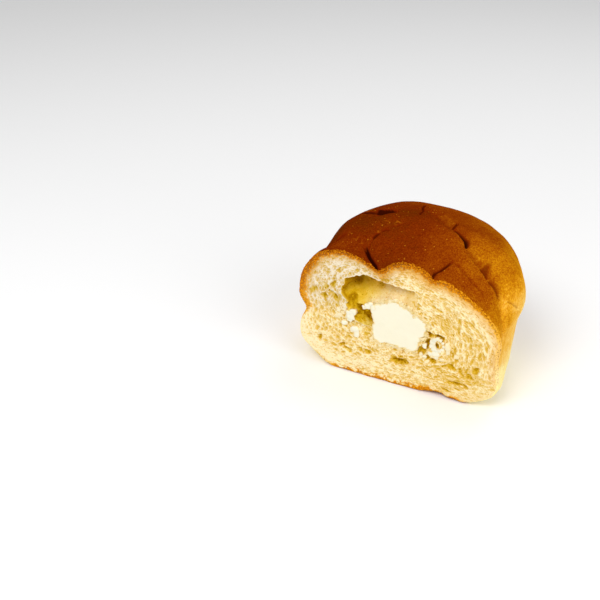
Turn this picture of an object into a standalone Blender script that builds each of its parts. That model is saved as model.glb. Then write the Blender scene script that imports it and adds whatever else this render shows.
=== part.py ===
"""Half of a sweet bun, cut across the middle, with the soft cheese filling showing at the cut.

Lengths are in millimetres until the mesh is made. The cut face stands upright and looks along -Y,
and the half runs back along +Y to its rounded tip. Every cross section is a closed curve round one
axis that runs straight back from the cut: a radius for each angle, with 0 degrees to the right
and 90 degrees up. Behind the cut the section changes smoothly into a plain dome.
"""
import math

import bmesh
import bpy
import numpy as np

MM = 0.001

# The whole half
AXIS_X = -3.0
AXIS_Z = 29.0
HALF_LENGTH = 71.0
CUT_FADE = 30.0
BASE_ROUNDING = 3.0

# Outline of the cut face as (angle, radius), without its folds
CUT_OUTLINE = (
    (-160, 50.2), (-150, 46.8), (-139, 44.0), (-115, 40.0), (-90, 37.0), (-65, 38.0), (-46, 43.6),
    (-36, 45.6), (-25, 49.0), (-11, 47.6), (6, 47.2), (22, 42.4), (38, 37.4), (52, 34.5),
    (66, 32.2), (84, 31.9), (100, 31.6), (112, 33.6), (125, 37.8), (136, 43.6), (146, 48.4),
    (156, 50.3), (170, 49.6), (185, 47.9),
)

# Dome that the section becomes: half widths, height over the axis and below it, and roundness
DOME_RIGHT = 50.5
DOME_LEFT = 51.0
DOME_UP = 40.6
DOME_DOWN = 39.7
DOME_UP_POWER = 2.9
DOME_DOWN_POWER = 2.8

# How the dome closes at the tip
TIP_X = -3.2
TIP_Z = 28.5
SIDE_POWER = 2.5
TOP_POWER = 4.3
BASE_POWER = 2.6

# Folds in the crust: (angle, distance behind the cut) along each, then depth and width
# at its first and last point
FOLDS = {
    "pinch": (((111.5, 0), (115, 2), (118.5, 4), (122, 7), (124.5, 10), (127.5, 13), (132, 15)),
              (5.8, 1.0), (6.4, 2.6)),
    "crown": (((121, 11), (117, 14), (112.5, 17.5), (107, 20), (100, 24)), (0.8, 1.0), (2.4, 2.4)),
    "corner": (((62, 0), (64, 4.5), (62, 6.5), (61, 8.5), (59.5, 11)), (2.0, 0.8), (3.2, 2.6)),
    "long": (((90, 42), (83, 38), (77, 33), (71, 29), (63, 25), (57, 21), (52, 18.5), (45, 16),
              (38, 14), (27, 13), (18, 10), (4, 4), (-4, 0)), (2.2, 1.2), (2.6, 4.0)),
    "shoulder": (((152, 9), (146, 11), (143, 13), (138, 15), (134, 16.5)), (4.4, 1.2), (5.4, 3.6)),
    "rear": (((146, 28), (136, 28), (127, 28), (120, 30.5), (113, 34.5)), (1.8, 2.4), (3.0, 2.6)),
    "side seam": (((181, 0), (181, 5), (180, 14)), (3.0, 0.6), (4.2, 4.4)),
}

# Broad hollows (+) and swells (-) of the crust: angle, distance behind the cut, reach, depth
SWELLS = {
    "front lobe": (84, 13, 17, -1.4),
    "left lobe": (136, 4, 12, -0.8),
    "rear lobe": (40, 34, 18, -0.4),
    "crest": (110, 46, 22, -1.0),
    "right crest": (62, 48, 15, 2.0),
    "right side": (17, 26, 10, -1.2),
    "side tuck": (-4, 18, 13, 4.6),
    "rear tuck": (-9, 32, 10, 2.2),
    "left rear side": (149, 20, 10, 3.4),
    "foot": (-24, 8, 10, -1.8),
}

# Cream filling: outline at the cut, and how far it runs back
CREAM_OUTLINE = (
    (-178, 12.0), (-158, 12.9), (-140, 13.7), (-114, 10.2), (-90, 9.4), (-70, 10.2), (-47, 12.7),
    (-22, 11.3), (4, 13.0), (24, 14.5), (46, 12.2), (74, 12.1), (100, 13.2), (130, 13.9),
    (151, 15.3), (168, 12.7),
)
CREAM_DEPTH = 31.0
CREAM_GAP = 0.35

# Air space above the cream: its own outline at the cut, and how far back its roof comes down
AIR_OUTLINE = (
    (-170, 11.0), (-120, 6.0), (-60, 6.0), (0, 6.0), (46, 10.0), (58, 14.0), (67, 18.9),
    (84, 19.6), (104, 21.4), (120, 24.4), (131, 29.0), (143, 31.7), (155, 30.0), (166, 24.6),
    (177, 18.6),
)
AIR_DEPTH = 22.0

# Holes in the crumb at the cut: x, z, half width, half height, tilt in degrees, depth
HOLES = {
    "lens": (-1.3, 12.6, 4.4, 1.2, -8, 2.6),
    "beside cream": (-18.4, 30.9, 3.0, 3.4, 25, 5.0),
    "right upper": (13.6, 30.4, 3.4, 1.3, -14, 3.0),
    "right middle": (11.4, 25.6, 1.3, 2.6, -12, 3.0),
    "right lower": (9.3, 19.9, 1.8, 1.5, 30, 3.0),
    "low right": (22.6, 16.8, 2.4, 1.4, -25, 2.6),
    "far right": (33.4, 18.0, 1.7, 2.6, -30, 2.6),
    "long low right": (24.6, 9.0, 3.8, 1.0, 4, 2.2),
    "low left": (-20.4, 13.0, 1.6, 1.4, -20, 2.4),
    "hook left": (-28.2, 12.4, 3.0, 1.1, -32, 2.0),
    "left outer": (-44.9, 38.2, 1.6, 2.4, -35, 2.4),
    "left inner": (-39.2, 36.4, 1.9, 1.7, 0, 2.4),
    "left long": (-33.6, 36.8, 1.3, 3.4, 32, 2.4),
}
HOLE_DETAIL = 2

# Crumbled cheese beside the cream and on its corner: x, z, radius
CHEESE_BITS = (
    (-25.2, 31.2, 2.0), (-25.4, 28.8, 1.7), (-28.3, 25.4, 1.6), (-23.2, 23.2, 1.9), (-21.9, 20.2, 1.4),
    (12.9, 20.5, 1.5), (20.4, 26.0, 1.5), (18.0, 18.9, 1.6), (25.0, 22.4, 1.6),
)
CREAM_BITS = ((-17.8, 36.9, 1.8), (-15.2, 38.0, 1.2))
BIT_STANDS_OUT = 0.5

# One bit is a ring of small lumps: x, z, ring radius, lump radius, lumps
CHEESE_RING = (15.2, 25.2, 2.5, 1.25, 6)
BIT_FLATNESS = 0.85
BIT_TURN = 37
CHEESE_DETAIL = 2

# Mesh density
SEGMENTS = 104
CRUST_RINGS = 36
FACE_RINGS = 5
POCKET_RINGS = 12
CREAM_SEGMENTS = 52
CREAM_RINGS = 10
CREAM_FACE_RINGS = 3
FOLD_STEPS = 8
MERGE_DISTANCE = 0.00001

CRUST_COLOUR = (0.38, 0.13, 0.02, 1.0)
CRUST_ROUGHNESS = 0.45
CREAM_COLOUR = (0.95, 0.92, 0.78, 1.0)
CREAM_ROUGHNESS = 0.6


def clear_scene():
    for item in list(bpy.data.objects):
        bpy.data.objects.remove(item)


def make_material(name, colour, roughness):
    material = bpy.data.materials.new(name)
    material.use_nodes = True
    shader = material.node_tree.nodes["Principled BSDF"]
    shader.inputs["Base Color"].default_value = colour
    shader.inputs["Roughness"].default_value = roughness
    shader.inputs["Metallic"].default_value = 0.0
    return material


def smooth(value):
    """Eases from 0 to 1 without a corner at either end."""
    t = np.clip(value, 0.0, 1.0)
    return t * t * (3 - 2 * t)


def curve_radius(points, angle):
    """Radius at each angle of the smooth closed curve through the (angle, radius) points."""
    known, radius = np.array(sorted(points), float).T
    known = np.concatenate((known - 360, known, known + 360))
    radius = np.tile(radius, 3)
    slope = np.gradient(radius, known)
    i = np.searchsorted(known, angle, side="right") - 1
    step = known[i + 1] - known[i]
    t = (angle - known[i]) / step
    start = (2 * t**3 - 3 * t**2 + 1) * radius[i] + (t**3 - 2 * t**2 + t) * step * slope[i]
    end = (3 * t**2 - 2 * t**3) * radius[i + 1] + (t**3 - t**2) * step * slope[i + 1]
    return start + end


def dome_radius(angle):
    """Radius of the rounded box that the section becomes behind the cut."""
    cosine = np.cos(np.radians(angle))
    sine = np.sin(np.radians(angle))
    width = np.where(cosine > 0, DOME_RIGHT, DOME_LEFT)
    height = np.where(sine > 0, DOME_UP, DOME_DOWN)
    power = np.where(sine > 0, DOME_UP_POWER, DOME_DOWN_POWER)
    return (np.abs(cosine / width) ** power + np.abs(sine / height) ** power) ** (-1 / power)


def taper(back, power):
    """Size of the section at a share of the length: 1 at the cut, 0 at the tip."""
    return np.clip(1 - back**power, 0.0, 1.0) ** (1 / power)


def plain_crust(angle, back):
    """Crust without its folds: back is 0 at the cut and 1 at the tip."""
    blend = smooth(back * HALF_LENGTH / CUT_FADE)
    radius = curve_radius(CUT_OUTLINE, angle) * (1 - blend) + dome_radius(angle) * blend
    x = AXIS_X + radius * np.cos(np.radians(angle))
    z = AXIS_Z + radius * np.sin(np.radians(angle))
    height = np.where(z > TIP_Z, taper(back, TOP_POWER), taper(back, BASE_POWER))
    x = TIP_X * back + x * taper(back, SIDE_POWER)
    return np.stack((x, back * HALF_LENGTH, TIP_Z + (z - TIP_Z) * height), -1)


def fold_line(places, depths, widths):
    """Points along a fold, with its depth and width at each."""
    places = np.array(places, float)
    known = np.arange(len(places))
    t = np.linspace(0, len(places) - 1, (len(places) - 1) * FOLD_STEPS + 1)
    line = plain_crust(np.interp(t, known, places[:, 0]), np.interp(t, known, places[:, 1]) / HALF_LENGTH)
    ends = (0, len(places) - 1)
    return line, np.interp(t, ends, depths), np.interp(t, ends, widths)


def folded(points):
    """Moves crust points towards the middle of the cut, in for folds and out for swells."""
    push = np.zeros(len(points))
    for places, depths, widths in FOLDS.values():
        line, depth, width = fold_line(places, depths, widths)
        distance = np.linalg.norm(points[:, None, :] - line[None, :, :], axis=2)
        nearest = np.argmin(distance, axis=1)
        near = distance[np.arange(len(points)), nearest] / width[nearest]
        push = push + depth[nearest] * np.exp(-near**2)
    for angle, behind, reach, depth in SWELLS.values():
        middle = plain_crust(np.array([float(angle)]), np.array([behind / HALF_LENGTH]))[0]
        push = push + depth * np.exp(-(np.linalg.norm(points - middle, axis=1) / reach) ** 2)
    middle = np.array((AXIS_X, 0.0, AXIS_Z))
    arm = points - middle
    return middle + arm * (1 - push / np.linalg.norm(arm, axis=1))[:, None]


def flat_base(points):
    """Flattens the underside at zero height, with a rounded edge."""
    z = points[:, 2]
    eased = (z + BASE_ROUNDING) ** 2 / (4 * BASE_ROUNDING)
    points[:, 2] = np.where(z < -BASE_ROUNDING, 0.0, np.where(z > BASE_ROUNDING, z, eased))
    return points


def crust_surface(angle, back):
    return flat_base(folded(plain_crust(angle, back)))


def section_points(radius, angle, behind):
    """Points at a radius and angle round the axis, at a distance behind the cut."""
    x = AXIS_X + radius * np.cos(np.radians(angle))
    z = AXIS_Z + radius * np.sin(np.radians(angle))
    return np.stack((x, np.broadcast_to(behind, x.shape), z), -1)


def pocket_surface(angle, turn):
    """Wall of the pocket: turn is 0 at the rim and 90 degrees at its far end."""
    behind = (CREAM_DEPTH + CREAM_GAP) * np.sin(np.radians(turn))
    around_cream = (curve_radius(CREAM_OUTLINE, angle) + CREAM_GAP) * np.cos(np.radians(turn))
    around_air = curve_radius(AIR_OUTLINE, angle) * taper(np.minimum(behind / AIR_DEPTH, 1.0), 2)
    return section_points(np.maximum(around_cream, around_air), angle, behind)


def bun_point_rows():
    """One row of points for each ring, from the tip over the crust and the cut into the pocket."""
    angle = np.arange(SEGMENTS) * 360 / SEGMENTS
    for ring in range(CRUST_RINGS + 1):
        back = math.cos(math.pi / 2 * ring / CRUST_RINGS)
        yield angle, crust_surface(angle, np.full(SEGMENTS, back))
    edge = crust_surface(angle, np.zeros(SEGMENTS))
    rim = pocket_surface(angle, 0.0)
    for ring in range(1, FACE_RINGS):
        share = ring / FACE_RINGS
        yield angle, edge * (1 - share) + rim * share
    for ring in range(POCKET_RINGS + 1):
        yield angle, pocket_surface(angle, 90 * ring / POCKET_RINGS)


def cream_point_rows():
    """One row of points for each ring, from the cream's hidden end to the middle of its cut."""
    angle = np.arange(CREAM_SEGMENTS) * 360 / CREAM_SEGMENTS
    outline = curve_radius(CREAM_OUTLINE, angle)
    for ring in range(CREAM_RINGS + 1):
        turn = math.pi / 2 * (1 - ring / CREAM_RINGS)
        yield angle, section_points(outline * math.cos(turn), angle, CREAM_DEPTH * math.sin(turn))
    for ring in range(1, CREAM_FACE_RINGS + 1):
        yield angle, section_points(outline * (1 - ring / CREAM_FACE_RINGS), angle, 0.0)


def moulded_sphere(name, rows):
    """A sphere whose rings are moved to the given rows; its +Z pole becomes the end at +Y."""
    rows = list(rows)
    segments = len(rows[0][0])
    mesh = bpy.data.meshes.new(name)
    ball = bmesh.new()
    bmesh.ops.create_uvsphere(ball, u_segments=segments, v_segments=len(rows) - 1, radius=1.0)
    for vertex in ball.verts:
        x, y, z = vertex.co
        ring = round(math.acos(max(-1.0, min(1.0, z))) / math.pi * (len(rows) - 1))
        points = rows[ring][1]
        if ring in (0, len(rows) - 1):
            vertex.co = points.mean(axis=0) * MM
        else:
            place = round(math.degrees(math.atan2(-y, x)) / 360 * segments) % segments
            vertex.co = points[place] * MM
    bmesh.ops.triangulate(ball, faces=ball.faces)
    ball.to_mesh(mesh)
    ball.free()
    return bpy.data.objects.new(name, mesh)


def blob(name, centre, radii, tilt, detail):
    """A small rounded lump, tilted in the plane of the cut."""
    mesh = bpy.data.meshes.new(name)
    ball = bmesh.new()
    bmesh.ops.create_icosphere(ball, subdivisions=detail, radius=1.0)
    turn = math.radians(tilt)
    for vertex in ball.verts:
        x, y, z = (vertex.co[i] * radii[i] for i in range(3))
        turned_x = x * math.cos(turn) - z * math.sin(turn)
        turned_z = x * math.sin(turn) + z * math.cos(turn)
        vertex.co = ((centre[0] + turned_x) * MM, (centre[1] + y) * MM, (centre[2] + turned_z) * MM)
    ball.to_mesh(mesh)
    ball.free()
    return bpy.data.objects.new(name, mesh)


def hole_cutters():
    for name, (x, z, half_width, half_height, tilt, depth) in HOLES.items():
        yield blob("hole " + name, (x, 0.0, z), (half_width, depth, half_height), tilt, HOLE_DETAIL)


def bits(places):
    for number, (x, z, radius) in enumerate(places):
        radii = (radius, radius, radius * BIT_FLATNESS)
        middle = (x, radius - BIT_STANDS_OUT, z)
        yield blob(f"bit {number}", middle, radii, BIT_TURN * number, CHEESE_DETAIL)


def ring_bits():
    x, z, ring_radius, radius, count = CHEESE_RING
    for number in range(count):
        turn = 2 * math.pi * number / count
        across, up = ring_radius * math.cos(turn), ring_radius * math.sin(turn)
        middle = (x + across, radius - BIT_STANDS_OUT, z + up)
        yield blob(f"ring {number}", middle, (radius, radius, radius), 0, CHEESE_DETAIL)


def combine(target, pieces, operation):
    """Joins pieces to the target, or cuts them from it, and removes them."""
    group = bpy.data.collections.new("working pieces")
    bpy.context.scene.collection.children.link(group)
    for piece in pieces:
        piece.display_type = "WIRE"
        piece.hide_render = True
        group.objects.link(piece)
    modifier = target.modifiers.new(operation.lower(), "BOOLEAN")
    modifier.operation = operation
    modifier.operand_type = "COLLECTION"
    modifier.collection = group
    modifier.solver = "EXACT"
    depsgraph = bpy.context.evaluated_depsgraph_get()
    result = bpy.data.meshes.new_from_object(target.evaluated_get(depsgraph))
    target.modifiers.clear()
    target.data = result
    for piece in list(group.objects):
        bpy.data.objects.remove(piece)
    bpy.data.collections.remove(group)


def tidy_mesh(item):
    """Welds what the joining left double and leaves triangles only."""
    work = bmesh.new()
    work.from_mesh(item.data)
    bmesh.ops.remove_doubles(work, verts=work.verts, dist=MERGE_DISTANCE)
    bmesh.ops.triangulate(work, faces=work.faces)
    work.to_mesh(item.data)
    work.free()


def finish(item, material):
    item.data.materials.clear()
    item.data.materials.append(material)
    item.data.shade_smooth()
    item.data.set_sharp_from_angle(angle=math.radians(40))


def centre_on_base(items, guide):
    """Moves the meshes so that the middle of the guide's underside is the origin."""
    corners = np.array([vertex.co for vertex in guide.data.vertices])
    low, high = corners.min(axis=0), corners.max(axis=0)
    shift = np.array(((low[0] + high[0]) / 2, (low[1] + high[1]) / 2, low[2]))
    for item in items:
        for vertex in item.data.vertices:
            vertex.co = vertex.co[0] - shift[0], vertex.co[1] - shift[1], vertex.co[2] - shift[2]


def main():
    clear_scene()
    parts = bpy.data.collections.new("cream_bun_half")
    bpy.context.scene.collection.children.link(parts)

    bun = moulded_sphere("bun", bun_point_rows())
    parts.objects.link(bun)
    combine(bun, hole_cutters(), "DIFFERENCE")
    combine(bun, [*bits(CHEESE_BITS), *ring_bits()], "UNION")
    tidy_mesh(bun)

    cream = moulded_sphere("cream", cream_point_rows())
    parts.objects.link(cream)
    combine(cream, bits(CREAM_BITS), "UNION")
    tidy_mesh(cream)

    centre_on_base((bun, cream), bun)
    finish(bun, make_material("bun crust", CRUST_COLOUR, CRUST_ROUGHNESS))
    finish(cream, make_material("cream", CREAM_COLOUR, CREAM_ROUGHNESS))


main()
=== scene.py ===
"""Looks of the cream bun half: folded brown crust, open crumb, and a cheese filling at the cut.

Section sizes are in millimetres, as in the solids: a radius for each angle round one axis that runs
straight back from the cut, with 0 degrees to the right and 90 up. They are placed in the frame by
the box of the bun's solid.
"""
import math

import bmesh
import bpy
import numpy as np
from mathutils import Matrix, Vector


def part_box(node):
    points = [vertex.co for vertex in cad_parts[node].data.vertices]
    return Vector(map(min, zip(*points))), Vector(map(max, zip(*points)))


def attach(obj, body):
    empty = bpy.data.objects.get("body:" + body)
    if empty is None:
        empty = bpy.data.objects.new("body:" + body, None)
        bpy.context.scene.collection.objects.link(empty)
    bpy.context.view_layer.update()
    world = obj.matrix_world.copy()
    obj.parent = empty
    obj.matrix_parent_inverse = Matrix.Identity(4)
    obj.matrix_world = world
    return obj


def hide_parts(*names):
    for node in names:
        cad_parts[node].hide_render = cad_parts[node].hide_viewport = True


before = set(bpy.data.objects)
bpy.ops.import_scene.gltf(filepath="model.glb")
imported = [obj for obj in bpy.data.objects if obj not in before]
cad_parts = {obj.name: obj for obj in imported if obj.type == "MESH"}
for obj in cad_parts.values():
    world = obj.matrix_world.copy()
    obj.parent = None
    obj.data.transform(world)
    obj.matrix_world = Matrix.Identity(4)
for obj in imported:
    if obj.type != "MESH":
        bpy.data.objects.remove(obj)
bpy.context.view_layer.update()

# The half's main sizes, as in the solids
AXIS_X = -3.0
AXIS_Z = 29.0
HALF_LENGTH = 71.0
CUT_FADE = 30.0
BASE_ROUNDING = 3.0
CUT_OUTLINE = (
    (-160, 50.2), (-150, 46.8), (-139, 44.0), (-115, 40.0), (-90, 37.0), (-65, 38.0), (-46, 43.6),
    (-36, 45.6), (-25, 49.0), (-11, 47.6), (6, 47.2), (22, 42.4), (38, 37.4), (52, 34.5),
    (66, 32.2), (84, 31.9), (100, 31.6), (112, 33.6), (125, 37.8), (136, 43.6), (146, 48.4),
    (156, 50.3), (170, 49.6), (185, 47.9),
)
DOME_RIGHT = 50.5
DOME_LEFT = 51.0
DOME_UP = 40.6
DOME_DOWN = 39.7
DOME_UP_POWER = 2.9
DOME_DOWN_POWER = 2.8
TIP_X = -3.2
TIP_Z = 28.5
SIDE_POWER = 2.5
TOP_POWER = 4.3
BASE_POWER = 2.6
# Broad folds: places as (angle, distance behind the cut), depth and width at both ends
FOLDS = (
    (((111.5, 0), (115, 2), (118.5, 4), (122, 7), (124.5, 10), (127.5, 13), (132, 15)),
      (5.8, 1.0), (6.4, 2.6)),
    (((121, 11), (117, 14), (112.5, 17.5), (107, 20), (100, 24)), (0.8, 1.0), (2.4, 2.4)),
    (((62, 0), (64, 4.5), (62, 6.5), (61, 8.5), (59.5, 11)), (2.0, 0.8), (3.2, 2.6)),
    (((90, 42), (83, 38), (77, 33), (71, 29), (63, 25), (57, 21), (52, 18.5), (45, 16),
      (38, 14), (27, 13), (18, 10), (4, 4), (-4, 0)), (2.2, 1.2), (2.6, 4.0)),
    (((152, 9), (146, 11), (143, 13), (138, 15), (134, 16.5)), (4.4, 1.2), (5.4, 3.6)),
    (((146, 28), (136, 28), (127, 28), (120, 30.5), (113, 34.5)), (1.8, 2.4), (3.0, 2.6)),
    (((181, 0), (181, 5), (180, 14)), (3.0, 0.6), (4.2, 4.4)),
)
# Hollows, and swells where the depth is below 0: angle, distance behind the cut, reach, depth
SWELLS = (
    (84, 13, 17, -1.4), (136, 4, 12, -0.8), (40, 34, 18, -0.4), (110, 46, 22, -1.0),
    (62, 48, 15, 2.0), (17, 26, 10, -1.2), (-4, 18, 13, 4.6), (-9, 32, 10, 2.2),
    (149, 20, 10, 3.4), (-24, 8, 10, -1.8),
)
CREAM_OUTLINE = (
    (-178, 12.0), (-158, 12.9), (-140, 13.7), (-114, 10.2), (-90, 9.4), (-70, 10.2), (-47, 12.7),
    (-22, 11.3), (4, 13.0), (24, 14.5), (46, 12.2), (74, 12.1), (100, 13.2), (130, 13.9),
    (151, 15.3), (168, 12.7),
)
CREAM_DEPTH = 31.0
CREAM_GAP = 0.35
AIR_DEPTH = 22.0
FOLD_STEPS = 8

# Narrow creases: places as (angle, distance behind the cut), depth, width of the side towards the
# cut, width of the side away from it at the first and the last place, and painted shade's strength and
# reach
CREASES = {
    "pinch": (((111.8, 0.3), (114.8, 1.8), (118.5, 4), (120.8, 5.6), (122.5, 7.6), (123.8, 9.6),
      (125.5, 10.8)), 3.4, 0.5, (1.4, 1.4), (1.0, 1.6)),
    "pinch tail": (((125, 10.4), (127.8, 12.6), (129.8, 14.2), (132.8, 15.9)), 0.7, 0.5, (0.6, 0.5),
      (0.3, 0.6)),
    "pinch right": (((121.5, 9), (120.3, 11), (119.6, 12.4), (117.5, 13.8)), 0.9, 0.4, (0.8, 0.6),
      (0.4, 0.7)),
    "crown left": (((119.5, 12.6), (117.2, 14.2), (115.5, 15.7), (114, 17)), 1.0, 0.4, (1.0, 1.0),
      (0.75, 1.0)),
    "crown middle": (((114.5, 17.2), (113, 17.9), (111.5, 18.7), (108.5, 18.3)), 1.4, 0.4, (1.1, 0.8),
      (0.6, 0.8)),
    "crown right": (((108.5, 20), (106.8, 20.9), (104.2, 22.4), (100.5, 24)), 1.2, 0.4, (1.0, 1.0),
      (0.4, 0.8)),
    "corner": (((62.3, 0.3), (63.6, 2.4), (64, 4.7), (62.2, 6.5), (60.8, 8.7), (59.5, 11), (58.6, 13)),
      2.0, 0.4, (0.8, 0.7), (0.62, 0.7)),
    "facet": (((59.5, 10.9), (56, 11.2), (52.5, 10.4), (47, 9.3), (42, 8.5), (36, 8.2), (30, 8.2)), 0.7,
      0.6, (1.8, 1.8), (0.25, 0.9)),
    "long top": (((90.5, 43), (83.8, 39.6), (77.2, 34.8), (71, 30)), 1.0, 0.6, (2.6, 3.4), (0.2, 1.0)),
    "long recess": (((71.6, 30.6), (70, 29.3), (66.5, 27.2), (62.8, 25.3), (60, 23.6), (58.2, 21.9),
      (57, 20.8)), 3.4, 0.4, (2.6, 1.2), (1.0, 1.6)),
    "long branch": (((70.9, 29.6), (70.5, 32.4), (70.2, 35), (70.2, 38)), 1.9, 0.5, (1.0, 0.7),
      (0.6, 0.8)),
    "long middle": (((57.6, 21.4), (54.5, 19.6), (52, 18.5), (48.8, 17.4), (45, 16.2)), 1.2, 0.6,
      (2.4, 2.4), (0.25, 1.4)),
    "long hollow": (((52, 18.4), (49.5, 17.6), (47, 16.9), (44.8, 16.3), (42.8, 15.7), (41.2, 15.2)),
      1.4, 0.4, (0.8, 3.4), (0.28, 2.2)),
    "long pit": (((45.6, 17.3), (43.6, 16.8), (41.9, 16.1), (40.4, 15.6), (38.9, 15.1), (37.5, 14.7),
      (36.4, 14.5)), 2.4, 0.35, (3.6, 0.3), (0.55, 3.0)),
    "long lower": (((37, 14.6), (35, 14.4), (32.6, 14.3), (30.2, 14.1), (26.6, 13.5), (23, 13)), 2.0,
      0.4, (1.8, 0.6), (0.5, 1.3)),
    "long foot": (((28, 13), (24, 12.4), (19, 10.9), (14, 9.2), (8, 7), (2, 5.4), (-4, 4.2)), 0.9, 0.8,
      (1.6, 2.4), (0.1, 1.0)),
    "foot crease": (((11, 4.2), (8, 3), (5, 2.5), (1, 3.0)), 1.0, 0.4, (0.8, 0.8), (0.3, 0.8)),
    "rear gap": (((126.5, 34.3), (124, 34.5), (121, 34.9), (118.5, 35.3), (115.5, 35.9), (112, 36.5)),
      2.6, 3.0, (0.5, 0.5), (1.0, 3.0)),
    "rear left": (((136, 33.8), (132.5, 33), (129, 32), (125.5, 31.6), (122, 32.2)), 0.9, 0.8,
      (0.8, 0.8), (0.8, 0.9)),
    "ledge": (((147, 17.2), (142.8, 17.3), (139.2, 17.5), (135, 17.5)), 0.9, 0.5, (0.9, 0.7),
      (0.5, 0.8)),
    "crest crack": (((103, 50), (101.4, 47.9), (99.8, 43), (97, 39.9), (96.4, 34.4), (95, 32.4)), 1.3,
      0.45, (0.9, 0.7), (0.7, 0.8)),
    "far nick": (((56.6, 41.5), (54.2, 43.9), (52, 47)), 0.7, 0.5, (0.7, 0.6), (0.3, 0.7)),
    "pale crack": (((22.5, 14.8), (20.5, 16.1), (16.8, 18.3), (14, 20)), 0.4, 0.4, (0.6, 0.5),
      (0.2, 0.6)),
}
# The flap on the near side of a crease: how far its edge stands up, where, and how wide
LIP_SHARE = 0.10
LIP_PLACE = 1.3
LIP_WIDTH = 0.9
# Paler dough past a fold: angle and distance behind the cut along the fold's edge, reach, change
PALE_FOLDS = (
    (((87, 42.5), (79, 37), (71.5, 31)), 8.0, -0.18),
    (((58, 21.6), (52, 18.8), (47, 17)), 6.0, -0.08),
    (((38, 14.2), (31, 13.4), (24, 12.4), (14, 9.2)), 4.0, -0.10),
)
# Small swells on the left lobes: angle, distance behind the cut, reach, height
SMALL_SWELLS = ((147, 31, 6.0, 1.3), (147, 9, 5.0, 1.0))
# Torn, flaky places: angle, distance behind the cut, reach
TORN_PLACES = (
    (131, 35, 3.0), (136, 36.5, 2.6), (117.3, 13.7, 1.1), (113, 22, 1.3), (105, 23, 1.3),
    (128.5, 13, 1.3), (42, 18.2, 0.9), (9, 9, 2.5), (134.2, 17.2, 0.8), (126, 11.5, 0.9),
    (120, 12.9, 0.9), (115.8, 16.6, 0.8), (111.5, 21.6, 0.9), (123.5, 10.2, 0.8),
)
TORN_RELIEF = 0.4
CREASE_WOBBLE = 0.35


def smooth(value):
    """Eases from 0 to 1 without a corner at either end."""
    t = np.clip(value, 0.0, 1.0)
    return t * t * (3 - 2 * t)


def fall(value):
    """Eases from 1 to 0."""
    return 1 - smooth(value)


def between(first, last, share):
    """Value at a share of the way from the first to the last."""
    return first + (last - first) * share


def ends_fade(share, reach):
    """1 along the middle of a line, and easing to 0 at both ends."""
    return smooth(share / reach) * smooth((1 - share) / reach)


def curve_radius(points, angle):
    """Radius at each angle of the smooth closed curve through the (angle, radius) points."""
    known, radius = np.array(sorted(points), float).T
    known = np.concatenate((known - 360, known, known + 360))
    radius = np.tile(radius, 3)
    slope = np.gradient(radius, known)
    i = np.searchsorted(known, angle, side="right") - 1
    step = known[i + 1] - known[i]
    t = (angle - known[i]) / step
    start = (2 * t**3 - 3 * t**2 + 1) * radius[i] + (t**3 - 2 * t**2 + t) * step * slope[i]
    end = (3 * t**2 - 2 * t**3) * radius[i + 1] + (t**3 - t**2) * step * slope[i + 1]
    return start + end


def dome_radius(angle):
    """Radius of the rounded box that the section becomes behind the cut."""
    cosine = np.cos(np.radians(angle))
    sine = np.sin(np.radians(angle))
    width = np.where(cosine > 0, DOME_RIGHT, DOME_LEFT)
    height = np.where(sine > 0, DOME_UP, DOME_DOWN)
    power = np.where(sine > 0, DOME_UP_POWER, DOME_DOWN_POWER)
    return (np.abs(cosine / width) ** power + np.abs(sine / height) ** power) ** (-1 / power)


def taper(back, power):
    """Size of the section at a share of the length: 1 at the cut, 0 at the tip."""
    return np.clip(1 - back**power, 0.0, 1.0) ** (1 / power)


def plain_crust(angle, back):
    """Crust without its folds: back is 0 at the cut and 1 at the tip."""
    blend = smooth(back * HALF_LENGTH / CUT_FADE)
    radius = curve_radius(CUT_OUTLINE, angle) * (1 - blend) + dome_radius(angle) * blend
    x, _, z = section_points(radius, angle, 0.0).T
    height = np.where(z > TIP_Z, taper(back, TOP_POWER), taper(back, BASE_POWER))
    x = TIP_X * back + x * taper(back, SIDE_POWER)
    return np.stack((x, back * HALF_LENGTH, TIP_Z + (z - TIP_Z) * height), -1)


def crust_line(places):
    """Points along a line on the plain crust, through (angle, distance behind the cut) places."""
    angle, behind = np.array(places, float).T
    known = np.arange(len(places))
    t = np.linspace(0, len(places) - 1, (len(places) - 1) * FOLD_STEPS + 1)
    return plain_crust(np.interp(t, known, angle), np.interp(t, known, behind) / HALF_LENGTH)


def spot_share(points, angle, behind, reach):
    """1 at a spot on the plain crust, and falling off round it over the reach."""
    spot = plain_crust(np.array([float(angle)]), np.array([behind / HALF_LENGTH]))[0]
    return np.exp(-(np.linalg.norm(points - spot, axis=1) / reach) ** 2)


def nearest_on_line(points, line):
    """Distance of each point from the line, the share of the line's length there, and the side."""
    best = np.full(len(points), np.inf)
    index = np.zeros(len(points), int)
    for number, place in enumerate(line):
        gap = ((points - place) ** 2).sum(axis=1)
        closer = gap < best
        best[closer] = gap[closer]
        index[closer] = number
    along = np.gradient(line, axis=0)
    arm = line - np.array((AXIS_X, 0.0, AXIS_Z))
    across = np.cross(along, arm)
    across = across * np.sign(across[:, 1:2].sum() or 1.0)
    side = ((points - line[index]) * across[index]).sum(axis=1)
    return np.sqrt(best), index / (len(line) - 1), np.sign(side)


def push_in(points, push):
    """Moves points towards the middle of the cut by the push in millimetres."""
    middle = np.array((AXIS_X, 0.0, AXIS_Z))
    arm = points - middle
    return middle + arm * (1 - push / np.linalg.norm(arm, axis=1))[:, None]


def fold_push(points):
    """Depth of the broad folds, hollows and swells, as in the solids."""
    push = np.zeros(len(points))
    for places, depths, widths in FOLDS:
        distance, share, _ = nearest_on_line(points, crust_line(places))
        push = push + between(*depths, share) * np.exp(-((distance / between(*widths, share)) ** 2))
    for *spot, depth in SWELLS:
        push = push + depth * spot_share(points, *spot)
    return push


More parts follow.
